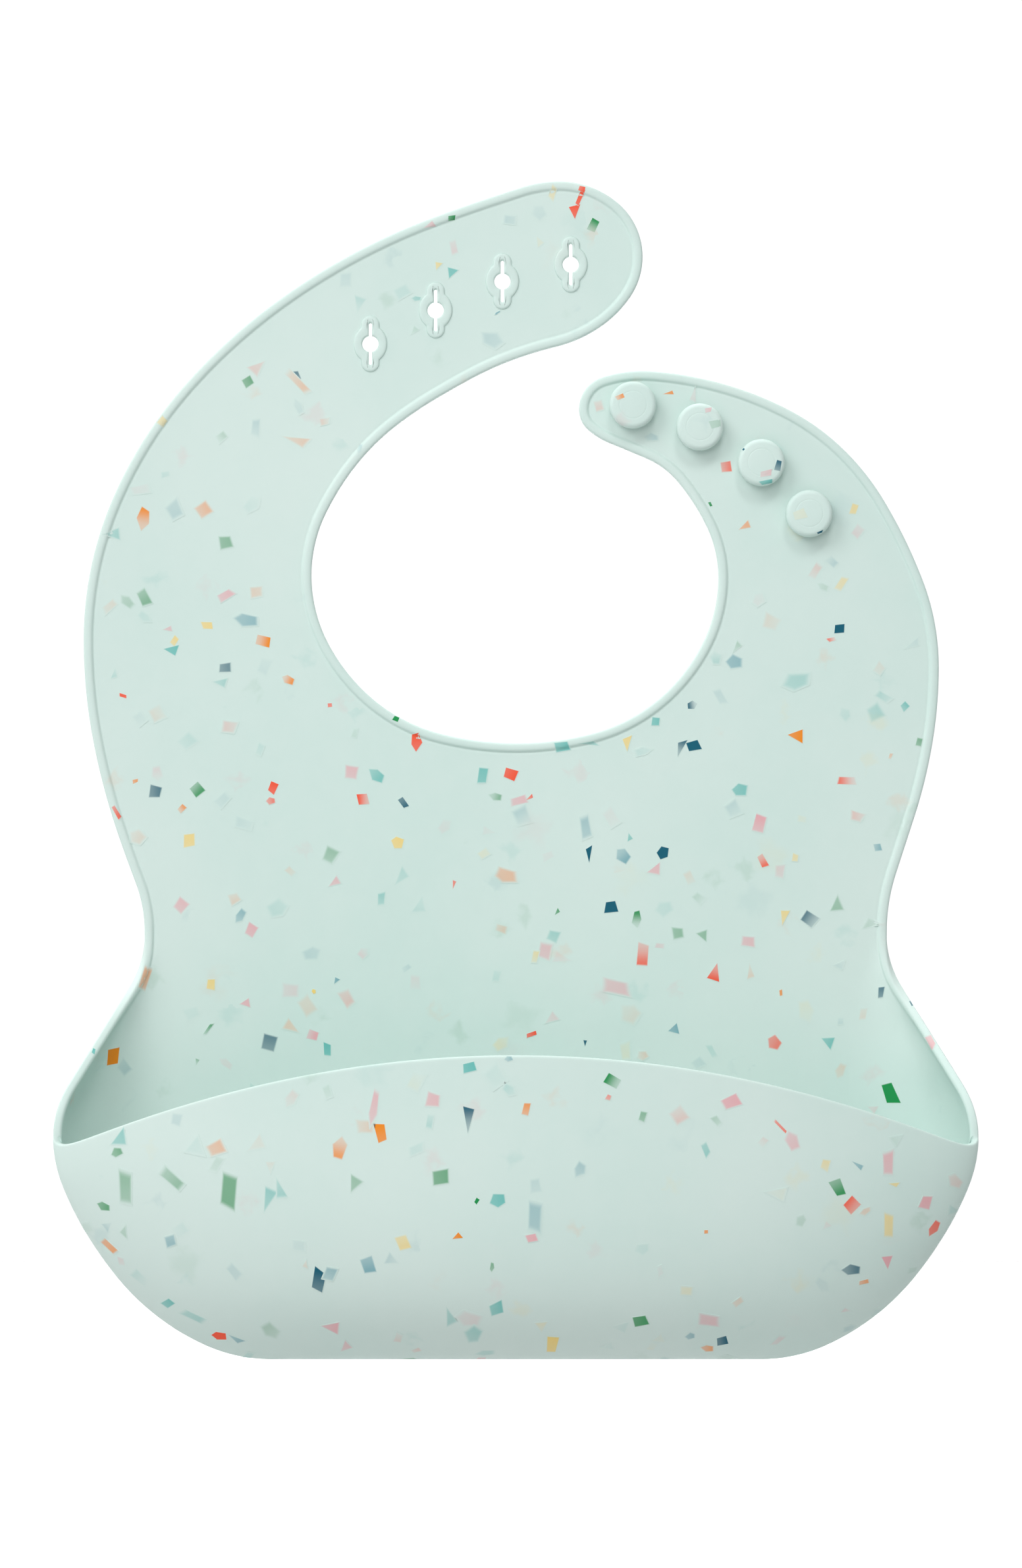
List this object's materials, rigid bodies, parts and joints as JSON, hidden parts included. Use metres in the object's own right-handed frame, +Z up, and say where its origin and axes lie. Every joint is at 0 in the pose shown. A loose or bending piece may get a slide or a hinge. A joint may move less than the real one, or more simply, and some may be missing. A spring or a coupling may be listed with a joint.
{
  "type": "silicone bib",
  "caption": "Moulded silicone baby bib with beaded edge, two neck straps joined by buttons and keyholes, and an open catch pocket along the bottom.",
  "frame": {"origin": "centre of the neck opening, on the flat back face", "axes": "+Z up as worn, towards the strap tips; +X to the button strap's side; -Y out of the front, the side the pocket is on"},
  "size_m": [0.2314, 0.0466, 0.2996],
  "materials": {
    "mint_silicone": "matte translucent silicone, pale mint, with coloured chips set in it",
    "button_silicone": "satin silicone, pale mint",
    "coloured_chips": "matte coloured silicone chips, flush with the surface"
  },
  "bodies": {
    "chest": {"chest_panel": "mint_silicone", "chest_bead": "mint_silicone", "chest_chips": "coloured_chips", "apron_bend": "mint_silicone", "hole_shoulder_bend": "mint_silicone", "button_shoulder_bend": "mint_silicone"},
    "lap": {"lap_panel": "mint_silicone", "lap_bead": "mint_silicone", "lap_chips": "coloured_chips", "right_side_wall": "mint_silicone", "left_side_wall": "mint_silicone", "right_side_rim": "mint_silicone", "left_side_rim": "mint_silicone", "right_cheek": "mint_silicone", "left_cheek": "mint_silicone", "pocket_floor": "mint_silicone", "pocket_front": "mint_silicone", "pocket_lip": "mint_silicone"},
    "hole_strap": {"hole_strap_panel": "mint_silicone", "hole_strap_bead": "mint_silicone", "hole_strap_chips": "coloured_chips", "hole_tab_bend": "mint_silicone"},
    "hole_tab": {"hole_tab_panel": "mint_silicone", "hole_tab_bead": "mint_silicone", "hole_tab_chips": "coloured_chips", "keyhole_rim_1": "mint_silicone", "keyhole_rim_2": "mint_silicone", "keyhole_rim_3": "mint_silicone", "keyhole_rim_4": "mint_silicone"},
    "button_strap": {"button_strap_panel": "mint_silicone", "button_strap_bead": "mint_silicone", "button_tab_bend": "mint_silicone", "button_3": "button_silicone", "button_4": "button_silicone"},
    "button_tab": {"button_tab_panel": "mint_silicone", "button_tab_bead": "mint_silicone", "button_1": "button_silicone", "button_2": "button_silicone"}
  },
  "joints": [
    {"name": "apron_fold", "type": "hinge", "parent": "chest", "child": "lap", "pos_m": [0, -0.001, -0.065], "axis": [-1, 0, 0], "range_deg": [-100, 100], "stiffness_Nm_per_rad": 0.06, "springref_deg": 12.96, "deforming": ["apron_bend"]},
    {"name": "hole_shoulder_fold", "type": "hinge", "parent": "chest", "child": "hole_strap", "pos_m": [-0.08, -0.001, -0.006], "axis": [-1, 0, 0], "range_deg": [-110, 110], "stiffness_Nm_per_rad": 0.05, "springref_deg": 0.02, "deforming": ["hole_shoulder_bend"]},
    {"name": "hole_tab_fold", "type": "hinge", "parent": "hole_strap", "child": "hole_tab", "pos_m": [-0.05193, -0.001, 0.04842], "axis": [-0.7314, 0, 0.682], "range_deg": [-90, 90], "stiffness_Nm_per_rad": 0.03, "springref_deg": 0.01, "deforming": ["hole_tab_bend"]},
    {"name": "button_shoulder_fold", "type": "hinge", "parent": "chest", "child": "button_strap", "pos_m": [0.079, -0.001, -0.006], "axis": [-1, 0, 0], "range_deg": [-110, 110], "stiffness_Nm_per_rad": 0.04, "springref_deg": 0.1, "deforming": ["button_shoulder_bend"]},
    {"name": "button_tab_fold", "type": "hinge", "parent": "button_strap", "child": "button_tab", "pos_m": [0.05606, -0.001, 0.03289], "axis": [-0.8625, 0, -0.506], "range_deg": [-50, 50], "stiffness_Nm_per_rad": 0.02, "springref_deg": 0.09, "deforming": ["button_tab_bend"]}
  ]
}
